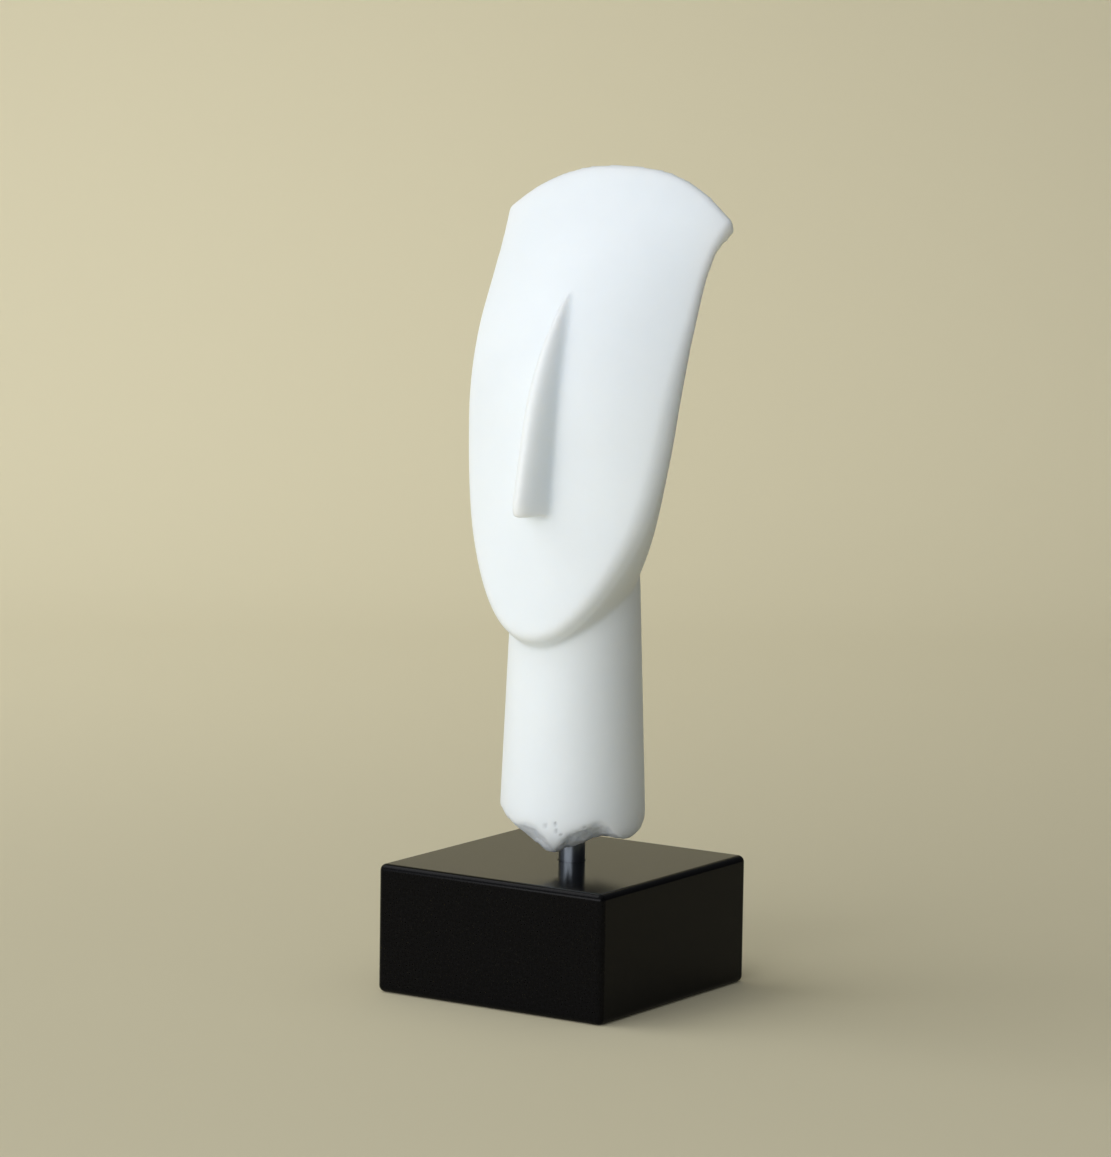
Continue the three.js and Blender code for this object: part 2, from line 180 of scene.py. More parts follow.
BREAK_HOLLOW_HEIGHT = 0.034
BREAK_REACH = 0.125
BREAK_RAGGEDNESS = 0.0016
BREAK_GRAIN = 0.02
BREAK_FRACTAL = (0.9, 2.1, 4)

# Small pits in the neck's skin near the break: bearing in degrees, height, radius
PITS = (
    (-119.1, 0.0514, 0.0024),
    (-78.7, 0.0516, 0.0022),
    (-70.5, 0.0556, 0.0022),
    (-69.7, 0.0448, 0.002),
    (-66.0, 0.0395, 0.002),
    (-46.8, 0.0501, 0.0024),
    (-42.0, 0.0499, 0.0022),
)
PIT_DEPTH = 0.0022

# Mesh fineness and finish, lengths in metres
FACE_STEPS = 56
JAW_STEPS = 44
CHEEK_STEPS = 50
FLARE_STEPS = 56
NOSE_STEPS = 32
NECK_STEPS = 96
NECK_BEND_STEPS = 16
NECK_COLUMN_STEPS = 24
NECK_CAP_STEPS = 8
BREAK_STEPS = 120
BORE_SIDES = 64
ROD_SIDES = 96
CHAMFER_STEPS = 2
ARRIS_STEPS = 6
SKIN_VOXEL = 0.0007
SKIN_SMOOTHING = 2
EDGE_SMOOTHING = 4
NOSE_RIDGE_DEPTH = 0.012
SOFT_CORNER = (0.155, 0.86)
FRACTURE_DEPTH = (0.0015, 0.005)
FRACTURE_ROUGHNESS = 0.00035
FRACTURE_GRAIN = 0.0022
FRACTURE_FRACTAL = (0.7, 2.2, 4)
BORE_CLEARANCE = 0.0003
LEVEL_DISTANCE = 1e-7

# Distance, in shares of the figure's height, within which doubled points are one
MERGE_SHARE = 1e-6

# The backdrop: its sides, front and back seen from the camera, the bend's radius and the
# wall's height over the bend
BACKDROP_SIDES = (-3.0, 0.7)
BACKDROP_FRONT = -1.2
BACKDROP_BACK = 0.7
BACKDROP_BEND_RADIUS = 0.6
BACKDROP_BEND_STEPS = 32
BACKDROP_WALL = 1.8

# Softboxes: bearing from the face and elevation in degrees, distance; width and height; watts
KEY_PLACE = (0, 9, 1.6)
KEY_SIZE = (2.1, 0.7)
KEY_POWER = 16.6
SIDE_PLACE = (-70, 50, 1.9)
SIDE_SIZE = (1.2, 1.2)
SIDE_POWER = 8.0

# The softbox for the wall: its place and aim seen from the camera, width and height, watts
# and the angle that it spreads over in degrees
WALL_LIGHT_PLACE = (-0.7, 0.2, 0.9)
WALL_LIGHT_AIM = (-0.1, 1.0, 0.0)
WALL_LIGHT_SIZE = (0.8, 0.8)
WALL_LIGHT_POWER = 1.15
WALL_LIGHT_SPREAD = 70

# The room's own light: bearing and elevation of its bright side in degrees, colours from its
# dim to its bright side, and strength
ROOM_BRIGHT_SIDE = (-60, 45)
ROOM_DIM = (0.02, 0.02, 0.02)
ROOM_MIDDLE = (0.22, 0.23, 0.24)
ROOM_BRIGHT = (0.93, 0.96, 1.0)
ROOM_STRENGTH = 0.7

# Camera: bearing round the object from the face, height above the horizon and roll in
# radians, distance and aim in metres, lens in millimetres on a 36 mm sensor
CAMERA_BEARING = math.radians(33.36)
CAMERA_ELEVATION = math.radians(8.04)
CAMERA_ROLL = math.radians(0.868)
CAMERA_DISTANCE = 1.6938
CAMERA_AIM_RIGHT = -0.00368
CAMERA_AIM_HEIGHT = 0.12414
CAMERA_LENS = 176.62
CAMERA_SENSOR = 36
CAMERA_REACH = 20


def lerp(start, end, value):
    return start + (end - start) * value


def ease(start, end, value):
    """Eased step from 0 to 1 between two values."""
    part = min(max((value - start) / (end - start), 0.0), 1.0)
    return part * part * (3.0 - 2.0 * part)


def midline_depth(height):
    """Depth of the face on its midline."""
    straight = -CHIN_FORWARD + FACE_LEAN * (height - CHIN_HEIGHT)
    straight_at_crown = -CHIN_FORWARD + FACE_LEAN * (1 - CHIN_HEIGHT)
    climbed = max(height - SWEEP_START_HEIGHT, 0) / (1 - SWEEP_START_HEIGHT)
    return straight + (CROWN_BACK - straight_at_crown) * climbed**SWEEP_POWER


def face_depth(across, height):
    """Depth of the face at a point across it."""
    flattened = ease(FLATTEN_START_HEIGHT, 1, height)
    bend = lerp(0.5 / FACE_CURVE_RADIUS, 0.5 / CROWN_CURVE_RADIUS, flattened)
    return midline_depth(height) + bend * across * across


def face_outline():
    """Half widths (X) and heights (Y) of the face's edge, from the chin to the crown's corner."""
    chin = Vector((0, CHIN_HEIGHT))
    jaw = Vector((JAW_HALF_WIDTH, JAW_HEIGHT))
    temple = Vector((TEMPLE_HALF_WIDTH, TEMPLE_HEIGHT))
    corner = Vector((CORNER_HALF_WIDTH, CORNER_HEIGHT))
    under_chin = Vector((JAW_HALF_WIDTH * CHIN_FULLNESS, CHIN_HEIGHT))
    above_jaw = jaw + (jaw - under_chin).normalized() * JAW_HANDLE
    below_temple = temple - Vector((0, TEMPLE_HANDLE))
    above_temple = temple + Vector((0, TEMPLE_HANDLE))
    below_corner = corner - Vector((CORNER_HANDLE_IN, CORNER_HANDLE_DOWN))
    jaw_curve = interpolate_bezier(
        chin, chin.lerp(under_chin, 2 / 3), jaw.lerp(under_chin, 2 / 3), jaw, JAW_STEPS
    )
    cheek_curve = interpolate_bezier(jaw, above_jaw, below_temple, temple, CHEEK_STEPS)
    flare_curve = interpolate_bezier(temple, above_temple, below_corner, corner, FLARE_STEPS)
    return jaw_curve + cheek_curve[1:] + flare_curve[1:]


def ring_height(level, across):
    """Height of a ring at a place across it: rings bend up in the middle towards the crown."""
    rise = ARCH_RISE * ease(ARCH_START_HEIGHT, CORNER_HEIGHT, level)
    return level + rise * (1 - abs(across) ** ARCH_POWER)


def chin_drift(height):
    """How far the face stands aside at a height, most at the chin."""
    return CHIN_DRIFT * (1 - ease(*CHIN_DRIFT_HEIGHTS, height))


def face_rim(outline):
    """The right half of the face's rim seen from the front, up its side and over the crown."""
    places = [math.cos(math.pi * i / FACE_STEPS) for i in range(1, FACE_STEPS // 2 + 1)]
    arc = [Vector((CORNER_HALF_WIDTH * p, ring_height(CORNER_HEIGHT, p))) for p in places]
    return outline + arc


def rim_rounding(height):
    """How far the rim's rounding reaches across the face at a height."""
    return lerp(JAW_RIM_ROUNDING, CROWN_RIM_ROUNDING, ease(*RIM_NARROWS, height))


def rim_setback(x, z, rim):
    """How far a point of the face is set back by the rounding of its rim."""
    place = Vector((abs(x), z))
    reach = rim_rounding(z)
    nearest = reach
    for start, end in zip(rim, rim[1:]):
        if (start - place).length < 2 * reach:
            foot, part = intersect_point_line(place, start, end)
            foot = start if part < 0 else end if part > 1 else foot
            nearest = min(nearest, (place - Vector(foot[:2])).length)
    within = (reach - nearest) / reach
    return reach * RIM_DEPTH_RATIO * (1 - math.sqrt(1 - within**2))


def head_point(across, edge, behind, rim):
    """A point of the head: across is -1 to 1 over the face, behind is True on its back."""
    half_width, level = edge
    x = half_width * across
    z = ring_height(level, across)
    depth = face_depth(x, z)
    aside = x + chin_drift(z)
    if not behind:
        return Vector((aside, depth + rim_setback(x, z, rim), z))
    climbed = max(level - TILT_START_HEIGHT, 0) / (CORNER_HEIGHT - TILT_START_HEIGHT)
    tilt = lerp(JAW_TILT, CROWN_TILT, climbed**TILT_POWER)
    up_face = (level - CHIN_HEIGHT) / (CORNER_HEIGHT - CHIN_HEIGHT)
    left = max(1 - up_face**THICKNESS_POWER, 0) ** (1 / THICKNESS_ROUNDING)
    middle = lerp(CROWN_THICKNESS, JAW_THICKNESS, left)
    side_band = lerp(SIDE_BAND, CROWN_THICKNESS, ease(SIDE_BAND_END_HEIGHT, CORNER_HEIGHT, level))
    band = max(side_band, rim_rounding(level) * RIM_DEPTH_RATIO + SIDE_BAND_BEHIND_RIM)
    low = lerp(BACK_FLATNESS_JAW, BACK_FLATNESS_CHEEK, ease(*CHEEK_FLATNESS_HEIGHTS, level))
    flatness = lerp(low, BACK_FLATNESS_CROWN, ease(*CROWN_FLATNESS_HEIGHTS, level))
    inside = max(1 - across * across, 0)
    thickness = lerp(band, middle, flatness * inside + (1 - flatness) * math.sqrt(inside))
    return Vector((aside, depth, z)) + Vector((0, math.cos(tilt), -math.sin(tilt))) * thickness


def nose_point(angle, height):
    """A point of the nose: angle runs from -90 degrees on its right flank over the ridge."""
    down = (NOSE_TOP_HEIGHT - height) / (NOSE_TOP_HEIGHT - NOSE_BASE_HEIGHT)
    half_width = NOSE_HALF_WIDTH * (1 - (1 - down) ** NOSE_WIDTH_POWER)
    tip = max(1 - (height - NOSE_BASE_HEIGHT) / NOSE_TIP_HEIGHT, 0)
    projection = (
        NOSE_PROJECTION
        * max(down, 0) ** NOSE_PROJECTION_POWER
        * (1 - NOSE_TIP_ROUNDING * tip**2)
    )
    power = 2 / NOSE_SECTION_POWER
    x = half_width * math.copysign(abs(math.sin(angle)) ** power, math.sin(angle))
    out = projection * max(math.cos(angle), 0) ** power
    return Vector((x + NOSE_DRIFT * down, face_depth(x, height) - out, height))


def neck_profile():
    """Radius (X) and height (Z) of the neck: under the break, up the column, into the head."""
    bend, bend_handle, base_handle = (
        Vector((radius, 0, height))
        for radius, height in (NECK_BEND, NECK_BEND_HANDLE, NECK_BASE_HANDLE)
    )
    base = Vector((NECK_BASE_RADIUS, 0, NECK_BASE_HEIGHT))
    rounding = interpolate_bezier(bend, bend_handle, base_handle, base, NECK_BEND_STEPS)
    shoulder = Vector((NECK_TOP_RADIUS, 0, NECK_SHOULDER_HEIGHT))
    climbs = [i / NECK_COLUMN_STEPS for i in range(1, NECK_COLUMN_STEPS + 1)]
    column = [base.lerp(shoulder, climbed) for climbed in climbs]
    top = Vector((0, 0, NECK_TOP_HEIGHT))
    turn = Vector((NECK_TOP_RADIUS, 0, NECK_TOP_HEIGHT))
    cap = interpolate_bezier(
        shoulder, shoulder.lerp(turn, 2 / 3), top.lerp(turn, 2 / 3), top, NECK_CAP_STEPS
    )
    foot = [Vector((radius, 0, NECK_FOOT_HEIGHT)) for radius in (0, NECK_FOOT_RADIUS)]
    return foot + rounding + column + cap[1:]


def break_height(x, y):
    """Height of the broken surface under the neck."""
    bearing = math.degrees(math.atan2(y, x))
    radius = math.hypot(x, y)
    before, after = next(pair for pair in zip(BREAK, BREAK[1:]) if bearing <= pair[1][0])
    part = (bearing - before[0]) / (after[0] - before[0])
    skin, ledge = (lerp(before[i], after[i], part) for i in (1, 2))
    outwards = (radius - BREAK_LEDGE_RADIUS) / (BREAK_SKIN_RADIUS - BREAK_LEDGE_RADIUS)
    ragged = noise.fractal(Vector((x, y, 0)) / BREAK_GRAIN, *BREAK_FRACTAL) * BREAK_RAGGEDNESS
    if outwards > 0:
        return lerp(ledge, skin, outwards) + ragged
    return lerp(BREAK_HOLLOW_HEIGHT, ledge, ease(*BREAK_HOLLOW, radius)) + ragged


def cut_edges(bm, axis, cuts):
    """Divides every edge that runs along one axis."""
    along = [
        e for e in bm.edges if abs((e.verts[1].co - e.verts[0].co).normalized()[axis]) > 0.9
    ]
    bmesh.ops.subdivide_edges(bm, edges=along, cuts=cuts, use_grid_fill=True)


def add_head(bm):
    """The head as a box divided into a grid, whose points are then laid on the carved form."""
    outline = face_outline()
    rim = face_rim(outline)
    levels = len(outline) - 1
    block = bmesh.new()
    bmesh.ops.create_cube(block, size=1.0)
    cut_edges(block, 0, FACE_STEPS - 1)
    cut_edges(block, 2, levels - 1)
    for v in block.verts:
        across = math.sin(math.pi * v.co.x)
        edge = outline[round((v.co.z + 0.5) * levels)]
        v.co = head_point(across, edge, v.co.y > 0, rim)
    bmesh.ops.remove_doubles(block, verts=block.verts, dist=MERGE_SHARE)
    bmesh.ops.recalc_face_normals(block, faces=block.faces)
    take_in(bm, block)


def add_nose(bm):
    """The nose as a divided box: its front bends round the ridge, its back stays in the head."""
    block = bmesh.new()
    bmesh.ops.create_cube(block, size=1.0)
    cut_edges(block, 0, NOSE_STEPS - 1)
    cut_edges(block, 2, NOSE_STEPS - 1)
    for v in block.verts:
        climbed = 1 - (0.5 - v.co.z) ** 2
        height = lerp(NOSE_BASE_HEIGHT, NOSE_TOP_HEIGHT, climbed)
        point = nose_point(math.pi * v.co.x, height)
        if v.co.y > 0:
            point.y = face_depth(point.x, height) + NOSE_ROOT
        v.co = point
    bmesh.ops.remove_doubles(block, verts=block.verts, dist=MERGE_SHARE)
    bmesh.ops.recalc_face_normals(block, faces=block.faces)
    take_in(bm, block)


def add_neck(bm):
    """The neck, a profile spun round its axis."""
    column = bmesh.new()
    points = [column.verts.new(p) for p in neck_profile()]
    edges = [column.edges.new(pair) for pair in zip(points, points[1:])]
    bmesh.ops.spin(
        column,
        geom=points + edges,
        axis=(0, 0, 1),
        cent=(0, 0, 0),
        angle=math.tau,
        steps=NECK_STEPS,
        use_merge=True,
    )
    bmesh.ops.remove_doubles(column, verts=column.verts, dist=MERGE_SHARE)
    bmesh.ops.recalc_face_normals(column, faces=column.faces)
    take_in(bm, column)


def add_break(bm):
    """Everything below the broken surface: a grid laid on it and drawn down into a block."""
    bmesh.ops.create_grid(bm, x_segments=BREAK_STEPS, y_segments=BREAK_STEPS, size=BREAK_REACH)
    for v in bm.verts:
        v.co.z = break_height(v.co.x, v.co.y)
    below = bmesh.ops.extrude_face_region(bm, geom=bm.faces[:])["geom"]
    for v in below:
        if isinstance(v, bmesh.types.BMVert):
            v.co.z = -BREAK_REACH
    bmesh.ops.recalc_face_normals(bm, faces=bm.faces)


def take_in(bm, other):
    """Adds another bmesh to this one and frees it."""
    mesh = bpy.data.meshes.new("part")
    other.to_mesh(mesh)
    other.free()
    bm.from_mesh(mesh)
    bpy.data.meshes.remove(mesh)


def new_object(name, bm):
    """An object from a bmesh, linked to the scene. The bmesh is freed."""
    mesh = bpy.data.meshes.new(name)
    bm.to_mesh(mesh)
    bm.free()
    made = bpy.data.objects.new(name, mesh)
    bpy.context.scene.collection.objects.link(made)
    return made


def settle(made):
    """Replaces an object's mesh by what its modifiers make of it."""
    bpy.context.view_layer.update()
    graph = bpy.context.evaluated_depsgraph_get()
    mesh = bpy.data.meshes.new_from_object(made.evaluated_get(graph))
    made.modifiers.clear()
    made.data = mesh


def cut_away(made, cutter):
    """Cuts one object out of another and removes the cutter."""
    cut = made.modifiers.new("cut", "BOOLEAN")
    cut.operation = "DIFFERENCE"
    cut.solver = "EXACT"
    cut.object = cutter
    settle(made)
    bpy.data.objects.remove(cutter)


def is_soft(point):
    """Whether a point is on the nose or on the corners of the crown, whose edges are soft."""
    if abs(point.x) < NOSE_HALF_WIDTH * 2 and NOSE_BASE_HEIGHT < point.z < NOSE_TOP_HEIGHT:
        return point.y < face_depth(point.x, point.z) - NOSE_RIDGE_DEPTH
    return point.z > SOFT_CORNER[1] and abs(point.x) > SOFT_CORNER[0]


def fracture_share(point, profile):
    """How far a point, in shares of the figure's height, lies in a broken surface: 0 to 1."""
    radius = math.hypot(point.x, point.y)
    if point.z > NECK_BASE_HEIGHT:
        return 0.0
    flat = Vector((radius, 0, point.z))
    nearest = 1.0
    for start, end in zip(profile, profile[1:]):
        foot, part = intersect_point_line(flat, start, end)
        foot = start if part < 0 else end if part > 1 else foot
        nearest = min(nearest, (flat - foot).length)
    return ease(*FRACTURE_DEPTH, nearest)


def node_value(tree, kind, **inputs):
    """A new shader node with some of its inputs set."""
    node = tree.nodes.new(kind)
    for name, value in inputs.items():
        node.inputs[name].default_value = value
    return node


def new_material(name):
    """A material with its nodes, and its shader node."""
    material = bpy.data.materials.new(name)
    material.use_nodes = True
    return material, material.node_tree, material.node_tree.nodes["Principled BSDF"]


def mapped(tree):
    """Object coordinates for a pattern."""
    return tree.nodes.new("ShaderNodeTexCoord").outputs["Object"]


def noise_on(tree, coordinates, scale, detail=3.0, roughness=0.5):
    pattern = node_value(tree, "ShaderNodeTexNoise", Scale=scale, Detail=detail, Roughness=roughness)
    tree.links.new(coordinates, pattern.inputs["Vector"])
    return pattern.outputs["Fac"]


def bump(tree, height, strength, distance, below=None):
    """A bump from a height, laid over another bump if one is given."""
    node = node_value(tree, "ShaderNodeBump", Strength=strength, Distance=distance)
    tree.links.new(height, node.inputs["Height"])
    if below is not None:
        tree.links.new(below, node.inputs["Normal"])
    return node.outputs["Normal"]


def ramp(tree, value, stops):
    """A colour ramp on a value, from (place, colour) pairs."""
    node = tree.nodes.new("ShaderNodeValToRGB")
    points = node.color_ramp.elements
    while len(points) < len(stops):
        points.new(0.5)
    for point, (place, colour) in zip(points, stops):
        point.position = place
        point.color = (*colour, 1)
    tree.links.new(value, node.inputs["Fac"])
    return node.outputs["Color"]


def marble_material(settings):
    """Fine white marble with a satin skin, a slightly cooler, sugary break and pits painted darker.
    """
    material, tree, shader = new_material("white_marble")
    place = mapped(tree)
    colour = Vector(settings.marble_colour)
    cloud = noise_on(tree, place, 38.0, 4.0)
    mottle = ramp(tree, cloud, [(0.3, tuple(colour * 0.97)), (0.7, tuple(colour))])
    broken = tree.nodes.new("ShaderNodeAttribute")
    broken.attribute_name = "fracture"
    pits = tree.nodes.new("ShaderNodeAttribute")
    pits.attribute_name = "pit"
    # The pits are painted darker, down to 0.4 of the marble's colour, on top of their dents
    pit_darkening = tree.nodes.new("ShaderNodeMix")
    pit_darkening.data_type = "RGBA"
    pit_darkening.inputs["B"].default_value = (*(colour * 0.4), 1)
    tree.links.new(pits.outputs["Fac"], pit_darkening.inputs["Factor"])
    tree.links.new(mottle, pit_darkening.inputs["A"])
    cooled = tree.nodes.new("ShaderNodeMix")
    cooled.data_type = "RGBA"
    cooled.blend_type = "MULTIPLY"
    cooled.inputs["B"].default_value = (1.0, 1.0, 1.02, 1)
    tree.links.new(broken.outputs["Fac"], cooled.inputs["Factor"])
    tree.links.new(pit_darkening.outputs["Result"], cooled.inputs["A"])
    tree.links.new(cooled.outputs["Result"], shader.inputs["Base Color"])
    shader.inputs["Roughness"].default_value = 0.52
    shader.inputs["Specular IOR Level"].default_value = 0.4
    shader.inputs["Subsurface Weight"].default_value = 0.8
    shader.inputs["Subsurface Radius"].default_value = (1.0, 0.95, 0.9)
    shader.inputs["Subsurface Scale"].default_value = 0.007
    worn = bump(tree, noise_on(tree, place, 60.0, 2.0), 0.12, 0.0008)
    grain = bump(tree, noise_on(tree, place, 1400.0, 2.0), 0.1, 0.0002, worn)
    sugar = noise_on(tree, place, 700.0, 5.0, 0.65)
    rough = tree.nodes.new("ShaderNodeMath")
    rough.operation = "MULTIPLY"
    tree.links.new(sugar, rough.inputs[0])
    tree.links.new(broken.outputs["Fac"], rough.inputs[1])
    coarse = bump(tree, rough.outputs["Value"], 0.5, 0.0006, grain)
    tree.links.new(coarse, shader.inputs["Normal"])
    return material


def steel_material(settings):
    """Steel rod turned and lightly brushed."""
    material, tree, shader = new_material("turned_steel")
    shader.inputs["Base Color"].default_value = (*settings.steel_colour, 1)
    shader.inputs["Metallic"].default_value = 1.0
    shader.inputs["Roughness"].default_value = 0.3
    place = mapped(tree)
    turned = tree.nodes.new("ShaderNodeMapping")
    turned.inputs["Scale"].default_value = (40, 40, 5200)
    tree.links.new(place, turned.inputs["Vector"])
    lines = bump(tree, noise_on(tree, turned.outputs["Vector"], 1.0, 2.0), 0.15, 0.00005)
    tree.links.new(lines, shader.inputs["Normal"])
    return material


def stone_material(settings):
    """Polished black stone with a fine grain."""
    material, tree, shader = new_material("polished_black_stone")
    place = mapped(tree)
    colour = Vector(settings.stone_colour)
    flecks = noise_on(tree, place, 1100.0, 2.0, 0.6)
    speckle = ramp(tree, flecks, [(0.42, tuple(colour)), (0.72, tuple(colour * 2.0))])
    tree.links.new(speckle, shader.inputs["Base Color"])
    shader.inputs["Roughness"].default_value = 0.14
    shader.inputs["Specular IOR Level"].default_value = 0.08
    polish = bump(tree, noise_on(tree, place, 420.0, 3.0), 0.04, 0.0001)
    tree.links.new(polish, shader.inputs["Normal"])
    return material


class FigurineSizes(PropertyGroup):
    figure_height: FloatProperty(
        name="Figure height",
        description="Height of the marble head and neck, from the break to the crown",
        default=0.204,
        unit="LENGTH",
    )
    figure_lift: FloatProperty(
        name="Gap under the figure",
        description="Height of the lowest point of the break over the plinth",
        default=0.0035,
        unit="LENGTH",
    )
    plinth_arris: FloatProperty(
        name="Plinth edge radius",
        description="Radius of the plinth's rounded edges",
        default=0.002,
        unit="LENGTH",
    )
    rod_chamfer: FloatProperty(
        name="Rod chamfer",
        description="Chamfer at both ends of the rod",
        default=0.0006,
        unit="LENGTH",
    )


class FigurineColours(PropertyGroup):
    marble_colour: FloatVectorProperty(
        name="Marble",
        description="Colour of the marble",
        default=(0.82, 0.872, 0.92),
        subtype="COLOR",
    )
    steel_colour: FloatVectorProperty(
        name="Steel",
        description="Colour of the rod",
        default=(0.2, 0.225, 0.26),
        subtype="COLOR",
    )
    stone_colour: FloatVectorProperty(
        name="Plinth stone",
        description="Colour of the black stone",
        default=(0.002, 0.002, 0.0025),
        subtype="COLOR",
    )
    backdrop_colour: FloatVectorProperty(
        name="Backdrop",
        description="Colour of the floor and backdrop",
        default=(0.675, 0.62, 0.44),
        subtype="COLOR",
    )


class FigurineSettings(PropertyGroup):
    sizes: PointerProperty(type=FigurineSizes)
    colours: PointerProperty(type=FigurineColours)


class FIGURINE_OT_add_marble_head(Operator):
    """Add the marble head and neck with its broken end"""

    bl_idname = "figurine.add_marble_head"
    bl_label = "Marble head"

    def execute(self, context):
        sizes = context.scene.figurine.sizes
        neck = bmesh.new()
        add_neck(neck)
        neck = new_object("neck", neck)
        broken = bmesh.new()
        add_break(broken)
        cut_away(neck, new_object("break", broken))
        bore = bmesh.new()
        bore_radius = (ROD_SIZE.x / 2 + BORE_CLEARANCE) / sizes.figure_height
        bmesh.ops.create_cone(
            bore,
            cap_ends=True,
            segments=BORE_SIDES,
            radius1=bore_radius,
            radius2=bore_radius,
            depth=2 * (ROD_HIGH.z - PLINTH_HIGH.z) / sizes.figure_height,
        )
        cut_away(neck, new_object("bore", bore))
        whole = bmesh.new()
        add_head(whole)
        add_nose(whole)
        whole.from_mesh(neck.data)
        bpy.data.objects.remove(neck)
        to_scale = Matrix.Scale(sizes.figure_height, 4)
        bmesh.ops.transform(whole, matrix=to_scale, verts=whole.verts)
        figure = new_object("marble_head_carved", whole)
        skin = figure.modifiers.new("skin", "REMESH")
        skin.mode = "VOXEL"
        skin.voxel_size = SKIN_VOXEL
        settle(figure)
        self.finish_skin(figure, sizes)
        figure.data.materials.clear()
        figure.data.materials.append(marble_material(context.scene.figurine.colours))
        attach(figure, "root")
        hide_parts("marble_head")
        return {"FINISHED"}

    def finish_skin(self, figure, sizes):
        """Softens the edges, roughens the break and sets the figure in its place."""
        bm = bmesh.new()
        bm.from_mesh(figure.data)
        self.soften(bm, bm.verts, SKIN_SMOOTHING)
        self.soften(bm, [v for v in bm.verts if is_soft(v.co / sizes.figure_height)], EDGE_SMOOTHING)
        profile = neck_profile()
        fracture = bm.verts.layers.float.new("fracture")
        bm.normal_update()
        shifts = []
        for v in bm.verts:
            v[fracture] = fracture_share(v.co / sizes.figure_height, profile)
            shift = 0.0
            if v[fracture] > 0:
                grain = noise.fractal(v.co / FRACTURE_GRAIN, *FRACTURE_FRACTAL)
                shift = grain * FRACTURE_ROUGHNESS
            shifts.append(shift * v[fracture])
        for v, shift in zip(bm.verts, shifts):
            v.co += v.normal * shift
        self.add_pits(bm, sizes.figure_height)
        place = Matrix.Translation((NECK_AXIS.x, NECK_AXIS.y, PLINTH_HIGH.z + sizes.figure_lift))
        bmesh.ops.transform(bm, matrix=place, verts=bm.verts)
        for face in bm.faces:
            face.smooth = True
        bm.to_mesh(figure.data)
        bm.free()

    def soften(self, bm, verts, times):
        """Smooths some points a number of times."""
        for _ in range(times):
            bmesh.ops.smooth_vert(
                bm, verts=verts, factor=0.5, use_axis_x=True, use_axis_y=True, use_axis_z=True
            )

    def add_pits(self, bm, height):
        """Small dark pits in the neck's skin."""
        pitted = bm.verts.layers.float.new("pit")
        bm.verts.ensure_lookup_table()
        tree = KDTree(len(bm.verts))
        for v in bm.verts:
            tree.insert(v.co, v.index)
        tree.balance()
        for bearing, level, radius in PITS:
            around = math.radians(bearing)
            out = Vector((math.cos(around), math.sin(around), 0))
            place = (out * BREAK_SKIN_RADIUS + Vector((0, 0, level))) * height
            for _, index, distance in tree.find_range(place, 2 * radius * height):
                v = bm.verts[index]
                v[pitted] = math.exp(-((distance / (radius * height)) ** 2))
                v.co -= out * PIT_DEPTH * height * v[pitted]


class FIGURINE_OT_add_steel_rod(Operator):
    """Add the steel rod that holds the figure up"""

    bl_idname = "figurine.add_steel_rod"
    bl_label = "Steel rod"

    def execute(self, context):
        sizes = context.scene.figurine.sizes
        bm = bmesh.new()
        bmesh.ops.create_cone(
            bm,
            cap_ends=True,
            segments=ROD_SIDES,
            radius1=ROD_SIZE.x / 2,
            radius2=ROD_SIZE.x / 2,
            depth=ROD_SIZE.z,
            matrix=Matrix.Translation(NECK_AXIS),
        )
        rims = [e for e in bm.edges if abs(e.verts[0].co.z - e.verts[1].co.z) < LEVEL_DISTANCE]
        bmesh.ops.bevel(
            bm,
            geom=rims,
            offset=sizes.rod_chamfer,
            affect="EDGES",
            segments=CHAMFER_STEPS,
            profile=0.5,
            material=-1,
        )
        for face in bm.faces:
            face.smooth = len(face.verts) == 4
        rod = new_object("steel_rod_turned", bm)
        rod.data.materials.append(steel_material(context.scene.figurine.colours))
        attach(rod, "root")
        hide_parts("steel_rod")
        return {"FINISHED"}


class FIGURINE_OT_add_stone_plinth(Operator):
    """Add the polished stone plinth with its bore"""

    bl_idname = "figurine.add_stone_plinth"
    bl_label = "Stone plinth"

    def execute(self, context):
        sizes = context.scene.figurine.sizes
        bm = bmesh.new()
        middle = (PLINTH_LOW + PLINTH_HIGH) / 2
        block = Matrix.Translation(middle) @ Matrix.Diagonal((*PLINTH_SIZE, 1))
        bmesh.ops.create_cube(bm, size=1.0, matrix=block)
        bmesh.ops.bevel(
            bm,
            geom=bm.edges[:],
            offset=sizes.plinth_arris,
            affect="EDGES",
            segments=ARRIS_STEPS,
            profile=0.5,
            material=-1,
        )
        plinth = new_object("stone_plinth_polished", bm)
        bore = bmesh.new()
        bore_radius = ROD_SIZE.x / 2 + BORE_CLEARANCE
        bmesh.ops.create_cone(
            bore,
            cap_ends=True,
            segments=ROD_SIDES,
            radius1=bore_radius,
            radius2=bore_radius,
            depth=2 * (PLINTH_HIGH.z - ROD_LOW.z + BORE_CLEARANCE),
            matrix=Matrix.Translation((NECK_AXIS.x, NECK_AXIS.y, PLINTH_HIGH.z)),
        )
        cut_away(plinth, new_object("bore", bore))
        for face in plinth.data.polygons:
            face.use_smooth = True
        plinth.data.materials.clear()
        plinth.data.materials.append(stone_material(context.scene.figurine.colours))
        even = plinth.modifiers.new("even_shading", "WEIGHTED_NORMAL")
        even.weight = 100
        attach(plinth, "root")
        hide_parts("stone_plinth")
        return {"FINISHED"}


def direction(bearing, elevation):
    """A direction from its bearing round the figure from the face and its elevation in degrees."""
    around, up = math.radians(bearing), math.radians(elevation)
    return Vector((math.sin(around) * math.cos(up), -math.cos(around) * math.cos(up), math.sin(up)))


